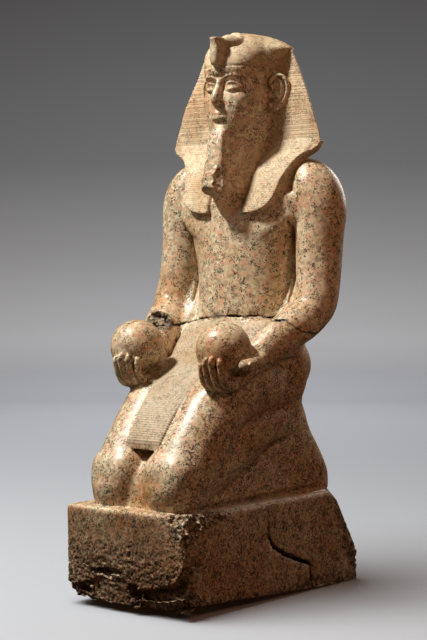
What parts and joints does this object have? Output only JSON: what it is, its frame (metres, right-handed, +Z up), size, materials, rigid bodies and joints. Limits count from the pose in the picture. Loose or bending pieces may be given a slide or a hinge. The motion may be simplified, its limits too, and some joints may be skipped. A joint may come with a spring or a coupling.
{
  "type": "egyptian pharaoh statue",
  "caption": "Kneeling Egyptian king in red granite, offering a round pot on each hand, carved in one with its plinth.",
  "frame": {"origin": "on the plinth's flat underside, at the middle of the figure's width and length", "axes": "+Z up; the figure faces -Y; its left side is +X"},
  "size_m": [1.052, 1.303, 2.627],
  "materials": {
    "granite": "polished red granite, coarse grained, rough where broken"
  },
  "bodies": {
    "root": {"kneeling_king_statue": "granite"}
  },
  "joints": []
}
